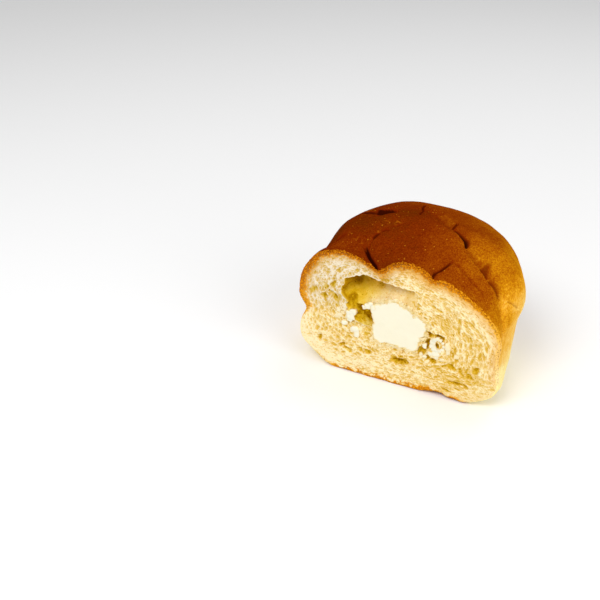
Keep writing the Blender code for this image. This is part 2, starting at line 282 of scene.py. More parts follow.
def flat_base(points):
    """Flattens the underside at zero height, with a rounded edge."""
    z = points[:, 2]
    eased = (z + BASE_ROUNDING) ** 2 / (4 * BASE_ROUNDING)
    points[:, 2] = np.where(z < -BASE_ROUNDING, 0.0, np.where(z > BASE_ROUNDING, z, eased))
    return points


def axis_angle(x, z):
    """Angle round the axis, in degrees from -180 to 180."""
    return np.degrees(np.arctan2(z - AXIS_Z, x - AXIS_X))


def section_points(radius, angle, behind):
    """Points at a radius and angle round the axis, at a distance behind the cut."""
    x = AXIS_X + radius * np.cos(np.radians(angle))
    z = AXIS_Z + radius * np.sin(np.radians(angle))
    return np.stack((x, np.broadcast_to(behind, x.shape), z), -1)


# Placing the section sizes in the frame: the solid's points, and the box they fill there
GUIDE_SEGMENTS = 104
GUIDE_RINGS = 36


def guide_reach():
    """Lowest and highest corner of the crust, from the same points as the solid's."""
    angle = np.arange(GUIDE_SEGMENTS) * 360 / GUIDE_SEGMENTS
    rings = [np.cos(np.pi / 2 * ring / GUIDE_RINGS) for ring in range(GUIDE_RINGS + 1)]
    points = np.concatenate([plain_crust(angle, np.full(GUIDE_SEGMENTS, back)) for back in rings])
    points = flat_base(push_in(points, fold_push(points)))
    return points.min(axis=0), points.max(axis=0)


bun_low, bun_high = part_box("bun")
guide_low, guide_high = guide_reach()
UNIT = (bun_high[0] - bun_low[0]) / (guide_high[0] - guide_low[0])
ORIGIN = np.array((
    bun_low[0] - guide_low[0] * UNIT,
    bun_high[1] - guide_high[1] * UNIT,
    bun_low[2] - guide_low[2] * UNIT,
))


def placed(points):
    """Section millimetres to metres in the frame."""
    return ORIGIN + np.asarray(points) * UNIT


# Random fields
LATTICE = 4096


def value_noise(points, cell, seed):
    """Smooth random values from -1 to 1 on a lattice with the given cell size."""
    table = np.random.default_rng(seed).uniform(-1, 1, LATTICE)
    scaled = np.asarray(points) / cell
    base = np.floor(scaled).astype(np.int64)
    t = scaled - base
    t = t * t * (3 - 2 * t)
    total = np.zeros(len(scaled))
    for corner in np.ndindex(2, 2, 2):
        i = base + np.array(corner)
        key = (i[:, 0] * 73856093) ^ (i[:, 1] * 19349663) ^ (i[:, 2] * 83492791)
        weight = np.prod(np.where(np.array(corner) == 1, t, 1 - t), axis=1)
        total += weight * table[key & (LATTICE - 1)]
    return total


def noise(points, cell, seed, layers=3):
    """Sum of finer and finer value noise."""
    total = np.zeros(len(points))
    for layer in range(layers):
        total += value_noise(points, cell / 2**layer, seed + layer) / 2**layer
    return total / (2 - 2 ** (1 - layers))


# Crumb at the cut
CRUMB_STEP = 0.12


class Field:
    """A map of depths over the cut, in millimetres, that can be read at any point."""

    def __init__(self):
        self.low = np.array((guide_low[0] - 1, -1.0))
        self.high = np.array((guide_high[0] + 1, guide_high[2]))
        self.shape = tuple(np.ceil((self.high - self.low) / CRUMB_STEP).astype(int) + 1)
        self.values = np.zeros(self.shape)
        self.second = np.zeros(self.shape)

    def hollow(self, u, v, long, short, tilt, depth):
        """Deepens the map to a rounded hollow, where it isn't deeper yet."""
        low = self.low
        spans = tuple(zip((u, v), low, self.shape))
        i0, j0 = (max(int((place - long - start) / CRUMB_STEP), 0) for place, start, _ in spans)
        i1, j1 = (min(int((place + long - start) / CRUMB_STEP) + 2, end) for place, start, end in spans)
        if i0 >= i1 or j0 >= j1:
            return
        du = low[0] + np.arange(i0, i1)[:, None] * CRUMB_STEP - u
        dv = low[1] + np.arange(j0, j1)[None, :] * CRUMB_STEP - v
        along = (du * math.cos(tilt) + dv * math.sin(tilt)) / long
        across = (dv * math.cos(tilt) - du * math.sin(tilt)) / short
        cap = depth * np.maximum(0.0, 1 - along**2 - across**2) ** 0.6
        window = self.values[i0:i1, j0:j1]
        runner_up = self.second[i0:i1, j0:j1]
        np.maximum(runner_up, np.minimum(window, cap), out=runner_up)
        np.maximum(window, cap, out=window)

    def walls(self, width):
        """Share of wall at each place: 1 where two hollows meet, 0 inside one."""
        return np.exp(-(self.values - self.second) / width)

    def read(self, x, z, grid=None):
        """Values at points of the cut, blended between the four nearest."""
        a = np.clip((x - self.low[0]) / CRUMB_STEP, 0, self.shape[0] - 1.001)
        b = np.clip((z - self.low[1]) / CRUMB_STEP, 0, self.shape[1] - 1.001)
        i, j = a.astype(int), b.astype(int)
        s, t = a - i, b - j
        grid = self.values if grid is None else grid
        return ((grid[i, j] * (1 - s) + grid[i + 1, j] * s) * (1 - t)
                + (grid[i, j + 1] * (1 - s) + grid[i + 1, j + 1] * s) * t)


CRUMB_SEED = 11
# Size classes: how many, smallest and largest radius, depth as a share of the radius, wall width
PORE_CLASSES = (
    (6600, 0.5, 1.6, 0.40, 0.13),
    (24000, 0.26, 0.52, 0.66, 0.06),
    (30000, 0.15, 0.27, 0.75, 0.03),
)
# How much smaller pores outnumber larger ones, and how far their tilts vary, in radians
PORE_SMALLNESS = 1.6
PORE_TURN = 0.28
# Half the angle over which the outline's direction is taken, and the height below which cells are level
FLOW_STEP = 4.0
FLOW_BASE = 16
# Larger holes: x, z, half length, half height, tilt, depth
HOLES = (
    (-1.3, 12.6, 4.8, 1.6, 5, 2.3), (-18.4, 30.9, 3.0, 3.4, 25, 5.0), (-16.6, 29.2, 2.2, 1.8, 0, 5.5),
    (4.4, 41.4, 1.1, 0.7, -30, 0.5), (7.2, 39.4, 0.8, 0.8, 0, 0.6), (9.2, 37.4, 1.2, 0.7, -40, 0.5),
    (10.9, 34.6, 0.9, 0.6, 0, 0.6), (12.0, 30.2, 2.0, 1.3, -20, 1.8), (16.2, 30.0, 2.4, 1.3, -14, 1.8),
    (11.2, 25.4, 1.4, 3.0, -12, 2.2), (15.2, 25.3, 1.3, 1.7, 10, 1.6), (8.7, 21.4, 2.1, 2.6, -20, 2.0),
    (11.7, 18.7, 1.2, 1.3, 0, 1.6), (14.2, 17.4, 1.7, 1.3, -15, 1.6), (22.6, 16.8, 2.5, 1.4, -25, 1.3),
    (26.6, 16.4, 0.9, 1.5, 10, 1.1), (33.4, 18.0, 1.4, 2.3, -30, 1.2), (31.0, 14.4, 1.6, 1.2, -30, 1.0),
    (24.6, 9.0, 3.9, 0.9, 4, 1.0), (20.9, 4.6, 2.1, 0.6, -12, 0.9), (29.8, 8.6, 1.6, 0.9, -28, 1.4),
    (-16.7, 13.0, 1.9, 1.4, -10, 1.4), (-20.4, 13.4, 1.0, 1.3, 0, 1.2),
    (-17.3, 22.6, 4.3, 2.7, 80, 0.45), (-29.6, 13.4, 2.0, 0.8, 30, 1.4),
    (-26.6, 11.4, 2.6, 0.9, -32, 1.4), (-40.8, 14.1, 1.0, 1.5, -20, 1.6),
    (-44.9, 38.2, 1.6, 2.5, -35, 0.8), (-38.4, 41.4, 1.5, 1.9, 20, 0.7),
    (-39.2, 36.4, 1.9, 1.7, 0, 0.9), (-36.6, 39.6, 0.8, 0.8, 0, 0.7), (-33.6, 36.8, 1.4, 3.4, 32, 0.9),
    (-32.4, 33.2, 1.1, 1.3, 20, 0.8), (-34.4, 43.2, 1.2, 2.2, -10, 0.8),
)


def crust_flow(angle, z):
    """Tilt, in radians, of the crumb's long cells: along the outline, and level near the base."""
    ahead, behind = angle + FLOW_STEP, angle - FLOW_STEP
    far, near = curve_radius(CUT_OUTLINE, ahead), curve_radius(CUT_OUTLINE, behind)
    a, b = np.radians(ahead), np.radians(behind)
    outline = np.arctan2(far * np.sin(a) - near * np.sin(b), far * np.cos(a) - near * np.cos(b))
    return np.where(z < FLOW_BASE, 0.0, outline)


def crumb_field():
    """Depth of the crumb behind the cut plane: thousands of cut bubbles, fine ones on coarse ones."""
    rng = np.random.default_rng(CRUMB_SEED)
    total = Field()
    bright = np.zeros(total.shape)
    for count, smallest, largest, share, wall in PORE_CLASSES:
        layer = Field()
        x, z = (rng.uniform(low, high, count) for low, high in zip(total.low, total.high))
        size = smallest * (largest / smallest) ** (rng.uniform(0, 1, count) ** PORE_SMALLNESS)
        angle = axis_angle(x, z)
        tilt = crust_flow(angle, z) + rng.normal(0, PORE_TURN, count)
        right = smooth((x + 6) / 22)
        edge = curve_radius(CUT_OUTLINE, angle) - np.hypot(x - AXIS_X, z - AXIS_Z)
        near_crust = fall((edge - 2) / 9)
        low_down = fall((z - 6) / 10)
        stretch = 1.2 + 1.4 * right + 0.6 * near_crust + 0.9 * low_down + rng.uniform(0, 0.7, count)
        high_up = smooth((z - 38) / 8)
        size = size * (1 - 0.45 * near_crust) * (1 - 0.25 * low_down) * (1 - 0.22 * high_up)
        depth = size * share * rng.uniform(0.5, 1.0, count)
        root = np.sqrt(stretch)
        for hollow in zip(x, z, size * root, size / root, tilt, depth):
            layer.hollow(*hollow)
        walls = layer.walls(wall)
        total.values += layer.values * (1 - 0.45 * walls)
        bright += walls * largest
    total.second = bright / sum(size_class[2] for size_class in PORE_CLASSES)
    return total


def hole_field():
    """Depth of the larger holes alone."""
    holes = Field()
    for x, z, half_width, half_height, tilt, depth in HOLES:
        turn = math.radians(tilt)
        if half_height > half_width:
            half_width, half_height, turn = half_height, half_width, turn + math.pi / 2
        holes.hollow(x, z, half_width, half_height, turn, depth)
    return holes


# Mesh helpers
def add_object(name, data):
    """A new object in the scene."""
    item = bpy.data.objects.new(name, data)
    bpy.context.scene.collection.objects.link(item)
    return item


def mesh_object(name, points, faces, values, material):
    """A smooth-shaded mesh piece in the frame, with one value a point under each name."""
    mesh = bpy.data.meshes.new(name)
    mesh.from_pydata(placed(points).tolist(), [], faces)
    for label, numbers in values.items():
        layer = mesh.attributes.new(label, "FLOAT", "POINT")
        layer.data.foreach_set("value", np.asarray(numbers, np.float32))
    mesh.shade_smooth()
    mesh.materials.append(material)
    return add_object(name, mesh)


def ring_faces(rings, count):
    """Faces of a closed skin over rings of points, with one point before and one after them."""
    first = np.arange(count)
    after = (first + 1) % count
    start = [(0, 1 + b, 1 + a) for a, b in zip(first, after)]
    quads = []
    for ring in range(rings - 1):
        here = 1 + ring * count
        there = here + count
        quads.extend(zip(here + first, here + after, there + after, there + first))
    last = 1 + (rings - 1) * count
    end = [(last + a, last + b, 1 + rings * count) for a, b in zip(first, after)]
    return [tuple(int(i) for i in face) for face in (*start, *quads, *end)]


# Node helpers
class Finish:
    """A node material being built, with short calls for the nodes it uses."""

    def __init__(self, name, **values):
        self.material = bpy.data.materials.new(name)
        self.material.use_nodes = True
        self.nodes = self.material.node_tree.nodes
        self.place = self.nodes.new("ShaderNodeTexCoord").outputs["Object"]
        self.to_shader(**values)

    def put(self, socket, value):
        """Links an output into a socket, or sets the socket to a plain value."""
        if isinstance(value, bpy.types.NodeSocket):
            self.material.node_tree.links.new(value, socket)
        else:
            socket.default_value = value

    def fill(self, node, values):
        """Fills a node's sockets by their names, and gives the node back."""
        for name, value in values.items():
            self.put(node.inputs[name.replace("_", " ")], value)
        return node

    def node(self, kind, **values):
        return self.fill(self.nodes.new("ShaderNode" + kind), values)

    def output(self, kind, name, **values):
        return self.node(kind, **values).outputs[name]

    def attribute(self, name):
        node = self.node("Attribute")
        node.attribute_name = name
        return node.outputs["Fac"]

    def noise(self, size_mm, detail=2.0, roughness=0.5, stretch=None):
        place = self.place
        if stretch:
            place = self.output("Mapping", "Vector", Scale=stretch, Vector=place)
        return self.output("TexNoise", "Fac", Scale=1 / (size_mm * UNIT), Detail=detail,
                           Roughness=roughness, Vector=place)

    def cells(self, size_mm):
        return self.output("TexVoronoi", "Distance", Scale=1 / (size_mm * UNIT), Vector=self.place)

    def math(self, operation, a, b):
        node = self.node("Math")
        node.operation = operation
        self.put(node.inputs[0], a)
        self.put(node.inputs[1], b)
        return node.outputs[0]

    def add(self, a, b):
        return self.math("ADD", a, b)

    def times(self, a, b):
        return self.math("MULTIPLY", a, b)

    def span(self, value, low, high, to_low=0.0, to_high=1.0):
        """Maps a range of values to another, held at its ends."""
        node = self.node("MapRange")
        for socket, item in zip(node.inputs, (value, low, high, to_low, to_high)):
            self.put(socket, item)
        return node.outputs[0]

    def ramp(self, value, stops):
        node = self.node("ValToRGB", Fac=value)
        elements = node.color_ramp.elements
        while len(elements) < len(stops):
            elements.new(0.5)
        for element, (position, colour) in zip(elements, stops):
            element.position = position
            element.color = (*colour, 1.0)
        return node.outputs["Color"]

    def mix(self, share, a, b, blend="MIX"):
        node = self.node("Mix")
        node.data_type = "RGBA"
        node.blend_type = blend
        self.put(node.inputs["Factor"], share)
        colours = [socket for socket in node.inputs if socket.type == "RGBA"]
        for socket, value in zip(colours, (a, b)):
            self.put(socket, value if isinstance(value, bpy.types.NodeSocket) else (*value, 1.0))
        return next(socket for socket in node.outputs if socket.type == "RGBA")

    def tint(self, colour, factor):
        """The colour times a factor for each channel."""
        return self.mix(1.0, colour, factor, "MULTIPLY")

    def bump(self, height, strength, distance_mm):
        return self.output("Bump", "Normal", Strength=strength, Distance=distance_mm * UNIT,
                           Height=height)

    def to_shader(self, **values):
        self.fill(self.nodes["Principled BSDF"], values)
        return self.material


# Colours of the crust and of its cut edge by how far they are baked, and of the crumb by its painted
# shade and tone: darker where it lies deeper
CRUST_RAMP = (
    (0.0, (0.98, 0.83, 0.36)), (0.10, (0.88, 0.50, 0.085)), (0.2, (0.74, 0.33, 0.014)),
    (0.29, (0.55, 0.20, 0.003)), (0.44, (0.38, 0.100, 0.0015)), (0.59, (0.27, 0.048, 0.001)),
    (0.8, (0.19, 0.021, 0.0007)), (1.0, (0.135, 0.021, 0.0006)),
)
RIM_RAMP = (
    (0.0, (0.93, 0.73, 0.33)), (0.25, (0.78, 0.38, 0.025)), (0.5, (0.60, 0.215, 0.003)),
    (0.75, (0.52, 0.155, 0.0015)), (1.0, (0.34, 0.080, 0.0008)),
)
RIM_LIGHT_RAMP = (
    (0.0, (0.94, 0.78, 0.42)), (0.25, (0.92, 0.53, 0.08)), (0.5, (0.86, 0.39, 0.015)),
    (0.75, (0.78, 0.31, 0.010)), (1.0, (0.74, 0.28, 0.008)),
)
CRUMB_RAMP = (
    (0.0, (0.91, 0.78, 0.48)), (0.2, (0.80, 0.595, 0.26)), (0.45, (0.71, 0.45, 0.08)),
    (0.7, (0.57, 0.33, 0.012)), (1.0, (0.32, 0.145, 0.0015)),
)
CHEESE_RAMP = ((0.3, (0.84, 0.80, 0.63)), (0.7, (0.82, 0.775, 0.60)))
# Factors that tint the crumb, by the names of the mesh's values
CRUMB_TINTS = {"toast": (0.87, 0.61, 0.30), "cool": (0.88, 0.91, 1.15), "ochre": (1.05, 1.09, 0.35)}
CRUST_LIGHT = (1.23, 1.52, 1.45)
CRUST_DULL = (0.74, 0.48, 0.56)
FLECK_COLOUR = (0.60, 0.23, 0.01)
FLAKE_COLOUR = (0.54, 0.16, 0.004)
# Painted shade for the creases: dark red-brown on their sides, near black at their floors
CREASE_SHADE_COLOUR = (0.18, 0.013, 0.0004)
CREASE_DEEP_SHADE_COLOUR = (0.022, 0.002, 0.0004)
RIM_DARK = (0.20, 0.035, 0.0005)
RIM_INNER = (0.82, 0.52, 0.12)
SMEAR_COLOUR = (0.84, 0.66, 0.32)


def crust_colour(make, bake, broad):
    """Pale yellow to deep brown, with flecks, torn flakes and painted shade in the creases."""
    middle = make.noise(2.6, 2.0, 0.6)
    fine = make.noise(0.7, 2.0, 0.6)
    uneven = make.span(broad, 0.25, 0.75, -0.06, 0.06)
    uneven = make.add(uneven, make.span(middle, 0.3, 0.7, -0.05, 0.05))
    uneven = make.add(uneven, make.span(fine, 0.34, 0.66, -0.05, 0.05))
    uneven = make.times(uneven, make.span(bake, 0.0, 0.4, 0.4, 1.2))
    baked = make.times(make.add(bake, uneven), 0.8)
    crust = make.ramp(baked, CRUST_RAMP)
    grain = make.span(make.noise(0.55, 2.0, 0.7), 0.36, 0.64)
    grained = make.mix(grain, make.tint(crust, CRUST_DULL), make.tint(crust, CRUST_LIGHT))
    crust = make.mix(make.span(baked, 0.1, 0.5, 0.25, 1.0), crust, grained)
    flecks = make.times(make.span(make.cells(2.1), 0.09, 0.16, 0.8, 0.0), make.span(middle, 0.46, 0.56))
    crust = make.mix(flecks, crust, FLECK_COLOUR)
    streaks = make.noise(1.0, 2.0, 0.6, (0.5, 1.0, 1.6))
    flakes = make.times(make.attribute("torn"), make.span(streaks, 0.51, 0.62, 0.0, 0.65))
    crust = make.mix(flakes, crust, FLAKE_COLOUR)
    # Painted shade in the creases, from the mesh's crease value
    painted_crease_shade = make.attribute("painted_crease_shade")
    crust = make.mix(make.span(painted_crease_shade, 0.0, 0.5, 0.0, 0.8), crust, CREASE_SHADE_COLOUR)
    return make.mix(make.span(painted_crease_shade, 0.4, 0.9, 0.0, 0.9), crust, CREASE_DEEP_SHADE_COLOUR)


def crumb_colour(make):
    """Crumb colour from its painted shade and tone: light on the cell walls, ochre to brown where
    painted shade darkens cells and holes.
    """
    grain = make.span(make.noise(0.5, 2.0, 0.6), 0.3, 0.7, -0.08, 0.08)
    pits = make.span(make.cells(1.5), 0.10, 0.24, 0.34, 0.0)
    crumb = make.ramp(make.add(make.add(make.attribute("crumb_shade_and_tone"), grain), pits), CRUMB_RAMP)
    for name, factor in CRUMB_TINTS.items():
        crumb = make.mix(make.attribute(name), crumb, make.tint(crumb, factor))
    return crumb


def rim_colour(make, bake, grain):
    """The crust's cut edge: orange, with light and dark grains."""
    lively = make.span(bake, 0.3, 0.8, 0.8, 1.0)
    bright = make.times(make.span(grain, 0.51, 0.59, 0.0, 0.9), lively)
    rim = make.mix(bright, make.ramp(bake, RIM_RAMP), make.ramp(bake, RIM_LIGHT_RAMP))
    dark = make.times(make.span(grain, 0.40, 0.46, 0.95, 0.0), lively)
    return make.mix(dark, rim, RIM_DARK)


def bread_finish():
    """Crust, rim and crumb in one material, told apart by the mesh's own values."""
    make = Finish("bread", Specular_IOR_Level=0.0, Subsurface_Scale=UNIT,
                  Subsurface_Radius=(0.6, 0.4, 0.15))
    bake = make.attribute("bake")
    broad = make.noise(9.0, 3.0, 0.55)
    grain = make.noise(0.6, 2.0, 0.75)
    rim = rim_colour(make, bake, grain)
    at_rim = make.attribute("rim")
    ragged = make.times(make.span(grain, 0.3, 0.7, -0.4, 0.4), make.span(at_rim, 0.0, 0.15))
    edge = make.add(at_rim, ragged)
    crust = make.mix(make.span(edge, 0.35, 0.75), crust_colour(make, bake, broad), rim)
    inner = make.mix(0.5, rim, RIM_INNER)
    crumb = make.mix(make.span(edge, 0.05, 0.5), crumb_colour(make), inner)
    crumb = make.mix(make.span(edge, 0.5, 0.9), crumb, rim)
    inside = make.attribute("inside")
    skin = make.add(make.noise(0.35, 3.0, 0.6), make.times(broad, 2.0))
    return make.to_shader(Base_Color=make.mix(inside, crust, crumb), Normal=make.bump(skin, 0.35, 0.12),
                          Roughness=make.span(inside, 0.0, 1.0, 0.42, 0.85),
                          Subsurface_Weight=make.span(inside, 0.0, 1.0, 0.0, 0.12))


def cheese_finish(name):
    """White cheese, smeared with crumb by the mesh's own value."""
    make = Finish(name, Roughness=0.5, Specular_IOR_Level=0.1, Subsurface_Weight=0.15,
                  Subsurface_Scale=UNIT, Subsurface_Radius=(0.9, 0.7, 0.5))
    white = make.ramp(make.noise(5.0, 3.0), CHEESE_RAMP)
    uneven = make.span(make.noise(0.7, 2.0, 0.6), 0.3, 0.7, -0.3, 0.3)
    smear = make.span(make.add(make.attribute("smear"), uneven), 0.3, 1.0, 0.0, 0.8)
    height = make.add(make.noise(0.6, 3.0, 0.6), make.noise(3.0))
    return make.to_shader(Base_Color=make.mix(smear, white, SMEAR_COLOUR),
                          Normal=make.bump(height, 0.12, 0.15))


# The bread
SEGMENTS = 840
CRUST_RINGS = 250
FACE_RINGS = 112
POCKET_RINGS = 40
RIM_TOP = 2.8
RIM_RIGHT = 1.2
RIM_LEFT = 3.8
RIM_BASE = 2.1
# How far the crumb is toasted below the rim, at the top, at the side and at the base
TOAST_TOP = 6.5
TOAST_SIDE = 5.5
TOAST_BASE = 3.5
# Browning by height, on the right side and on the left side
BAKE_HEIGHTS = (0, 12, 22, 33, 44, 51, 56, 61, 65, 70)
BAKE_RIGHT = (-0.04, 0.02, 0.16, 0.17, 0.28, 0.37, 0.46, 0.42, 0.45, 0.49)
BAKE_LEFT = (0.05, 0.08, 0.14, 0.5, 0.9, 1.05, 1.07, 0.98, 1.0, 1.04)
BAKE_BASE = 0.55
# Darker and lighter places: angle, distance behind the cut, reach, change
BAKE_SPOTS = (
    (128, 24, 10, 0.23), (136, 8, 9, -0.06), (112, 30, 10, 0.08), (100, 52, 12, -0.19),
    (66, 33, 5, 0.1), (70, 60, 14, -0.11), (55, 26, 4, -0.09), (42, 19, 4, -0.09), (48, 34, 9, 0.12),
    (30, 40, 12, -0.1), (12, 34, 12, -0.21), (30, 5, 9, 0.22), (17, 7, 10, 0.06), (60, 12, 7, 0.08),
    (18, 18, 5.5, -0.08), (88, 12, 11, 0.08), (46, 6, 5, 0.1), (28, 16, 4.5, -0.07), (96, 36, 10, 0.13),
    (150, 30, 12, 0.2), (-22, 6, 8, -0.05), (-15, 2, 7, -0.14), (194, 0, 9, -0.12),
)
EDGE_ROLL = 0.6
# Values on the bread's points: one is the creases' painted shade, another the crumb's painted shade and
# tone
BREAD_VALUES = ("bake", "painted_crease_shade", "torn", "inside", "rim", "crumb_shade_and_tone", "toast", "cool", "ochre")
# Height of the cut's lower edge over the table: x, height; and how far back it reaches
BASE_LIFT = (
    (-46, 0.0), (-33, 0.2), (-26, 0.0), (-8, 0.1), (3, 0.0), (9, 0.5), (14, 1.5), (17, 2.2),
    (19.5, 2.1), (22, 1.0), (26, 0.8), (29.5, 0.6), (32, 1.1), (34.5, 2.6), (38, 2.6), (46, 1.0),
)
BASE_LIFT_REACH = 4.5
# The pocket's edge at the cut, as torn in the crumb
AIR_EDGE = (
    (-168, 11.0), (-120, 6.0), (-60, 6.0), (0, 6.0), (42, 9.0), (52, 12.2), (58, 14.6),
    (63, 18.0), (66, 20.0), (70, 20.8), (83, 20.3), (91, 20.5), (103, 21.4), (111, 22.7), (119, 24.7),
    (126, 27.7), (133, 29.4), (139, 30.4), (144, 32.0), (149, 30.6), (156, 30.4), (160, 28.9),
    (163, 25.6), (167, 25.8), (171, 24.6), (177, 21.6), (184, 19.6), (188, 15.5),
)


def browning(points):
    """How far the crust is baked: 0 pale yellow to 1 deep brown, by height and side."""
    z = points[:, 2]
    right = np.interp(z, BAKE_HEIGHTS, BAKE_RIGHT)
    left = np.interp(z, BAKE_HEIGHTS, BAKE_LEFT)
    side = smooth((points[:, 0] + 16) / 60)
    bake = left * (1 - side) + right * side
    bake = bake + 0.06 * noise(points, 15.0, 31, 2) * smooth(bake / 0.3)
    for *spot, change in BAKE_SPOTS:
        bake = bake + change * spot_share(points, *spot)
    for places, reach, change in PALE_FOLDS:
        distance, share, side = nearest_on_line(points, crust_line(places))
        past = np.where(side > 0, fall(distance / reach), 0.0)
        bake = bake + change * ends_fade(share, 0.2) * past
    base = fall(z / 1.2)
    return np.clip(bake * (1 - base) + BAKE_BASE * base, 0.0, 1.25)


def crease_relief(points):
    """Depth of the narrow creases, and how much painted shade each point gets in one."""
    push, lip, dark = np.zeros((3, len(points)))
    wobble = np.stack([noise(points, 3.0, 51 + k, 2) for k in range(3)], -1) * CREASE_WOBBLE
    moved = points + wobble
    for places, depth, near, far_ends, (shade_strength, reach) in CREASES.values():
        distance, share, side = nearest_on_line(moved, crust_line(places))
        ends = ends_fade(share, 0.22)
        far = between(*far_ends, share)
        beyond = np.clip(1 - distance / (1.7 * far), 0.0, 1.0) ** 1.8
        shape = np.where(side > 0, beyond, np.exp(-((distance / near) ** 2))) * ends
        push = np.maximum(push, depth * shape)
        raised = np.exp(-(((distance - LIP_PLACE) / LIP_WIDTH) ** 2)) * ends * (side <= 0)
        lip = np.maximum(lip, LIP_SHARE * depth * raised)
        # Painted shade in the crease: full out to 0.6 of the side's width (at most the reach), none past
        # 1.5 of it
        shade = smooth((1.5 - distance / np.minimum(np.where(side > 0, far, near), reach)) / 0.9)
        dark = np.maximum(dark, shade * ends * shade_strength)
    return push - lip, dark


def uneven_base(crust, plain):
    """Roughens the underside, and lifts its edge at the cut."""
    behind = plain[:, 1]
    rough = np.where(crust[:, 2] < 0.3, 0.12 * (1 + value_noise(plain, 2.2, 27)), 0.0)
    crust[:, 2] += rough * smooth(behind / 3.0)
    lift = np.interp(crust[:, 0], *np.array(BASE_LIFT).T) + 0.25 * (1 + value_noise(plain, 2.6, 26))
    near_cut = fall(behind / BASE_LIFT_REACH) ** 1.5
    crust[:, 2] += np.maximum(lift - crust[:, 2], 0.0) * near_cut


def crust_part(angle):
    """The crust from near the tip to the cut: its points and their values."""
    turns = np.pi / 2 * np.arange(1, CRUST_RINGS + 1) / CRUST_RINGS
    backs = np.maximum(np.cos(turns), 0.0)
    plain = plain_crust(np.tile(angle, CRUST_RINGS), np.repeat(backs, SEGMENTS))
    x, behind, z = plain.T
    push = fold_push(plain)
    for *spot, height in SMALL_SWELLS:
        push = push - height * spot_share(plain, *spot)
    # The creases' relief, and their painted shade for the colour
    fine, painted_crease_shade = crease_relief(plain)
    lumps = 0.35 * noise(plain, 11.0, 21, 2) + 0.10 * noise(plain, 3.2, 24, 2)
    rolled = EDGE_ROLL * fall(behind / EDGE_ROLL) ** 2
    left_edge = smooth((-38 - x) / 6) * smooth((z - 24) / 4)
    grain = (0.16 + 0.22 * left_edge) * noise(plain, 0.9, 28, 2) * fall(behind / 1.6)
    torn = np.max([spot_share(plain, *spot) for spot in TORN_PLACES], axis=0)
    flaky = TORN_RELIEF * torn * noise(plain, 1.1, 35, 2)
    push = push + fine + lumps * smooth(behind / 3.0) + rolled * 0.6 + grain + flaky
    crust = flat_base(push_in(plain, push))
    bake = browning(crust)
    uneven_base(crust, plain)
    ragged = 1.3 * noise(plain, 1.5, 29, 3)
    rim = fall((behind + ragged - 0.3) / 1.3) * rim_fade(plain)
    return crust, {"bake": bake, "painted_crease_shade": painted_crease_shade, "torn": torn, "rim": rim}


def cream_edge(angle):
    """The filling's outline, uneven as torn by the knife."""
    outline = curve_radius(CREAM_OUTLINE, angle)
    uneven = noise(section_points(outline, angle, 0.0), 1.8, 91, 3)
    return outline + np.minimum(1.2 * uneven, 0.25)


def pocket_part(angle, rim_drop):
    """The pocket's wall, round the filling and the air over it: its points and their values."""
    quarter = np.linspace(0, math.pi / 2, POCKET_RINGS + 1)[:-1]
    behind = (CREAM_DEPTH + CREAM_GAP) * np.sin(quarter)
    angles = np.tile(angle, POCKET_RINGS)
    distance = np.repeat(behind, SEGMENTS)
    cream = cream_edge(angle)
    air = curve_radius(AIR_EDGE, angle)
    jag = section_points(np.full(SEGMENTS, 16.0), angle, 0.0)
    uneven = 0.6 * noise(jag, 2.6, 41, 3) + 0.45 * noise(jag, 0.8, 45, 2)
    air = air + uneven * smooth((air - cream) / 3)
    overlap = 0.15 - 0.4 * np.abs(noise(jag, 1.6, 43, 2))
    gap = between(overlap, CREAM_GAP, smooth(behind / 1.5)[:, None])
    around_cream = (np.cos(quarter)[:, None] * cream + gap).ravel()
    around_air = np.outer(taper(np.minimum(behind / AIR_DEPTH, 1.0), 2), air).ravel()
    radius = np.maximum(around_cream, around_air)
    in_air = smooth((around_air - around_cream) / 2)
    open_air = smooth(distance / 1.5)
    rough = noise(section_points(radius, angles, distance), 2.6, 61, 3) * in_air * open_air
    wall = section_points(radius + 0.5 * rough, angles, distance)
    wall[:, 1] += np.outer(np.exp(-behind / 1.2), rim_drop(wall[:SEGMENTS])).ravel()
    # Painted shade on the pocket's wall: darker deeper in, on its bumps and on its upper left
    left = smooth((angles - 118) / 20) * in_air
    crumb_shade_and_tone = 0.28 + 0.35 * smooth(distance / 12) + 0.12 * rough + 0.45 * left * open_air
    return wall, {"inside": 1.0, "crumb_shade_and_tone": crumb_shade_and_tone, "ochre": 0.6}


def at_base(tilt):
    """1 along the base of the cut, 0 along its sides and top."""
    return smooth((-tilt - 30) / 15) * smooth((tilt + 150) / 15)


def rim_width(tilt):
    """Thickness of the crust at the cut, for each angle."""
    up = smooth((tilt - 10) / 60) * smooth((175 - tilt) / 30)
    left = smooth((tilt - 140) / 12) * smooth((186 - tilt) / 6)
    width = between(between(RIM_RIGHT, RIM_TOP, up), RIM_LEFT, left)
    return between(width, RIM_BASE, at_base(tilt))


def rim_fade(points):
    """Share of the rim that shows: none at the pale feet on the right and on the left."""
    x, z = points[:, 0], points[:, 2]
    right = smooth((x - 24) / 8) * smooth((17 - z) / 6)
    left = smooth((-40 - x) / 5) * smooth((27 - z) / 3)
    return (1 - right) * (1 - left)


def ring_gap(face, ring):
    """Distance of the cut's points from a ring's points, each from the one on its own line."""
    apart = face.reshape(-1, SEGMENTS, 3) - ring
    return np.hypot(apart[..., 0], apart[..., 2]).ravel()


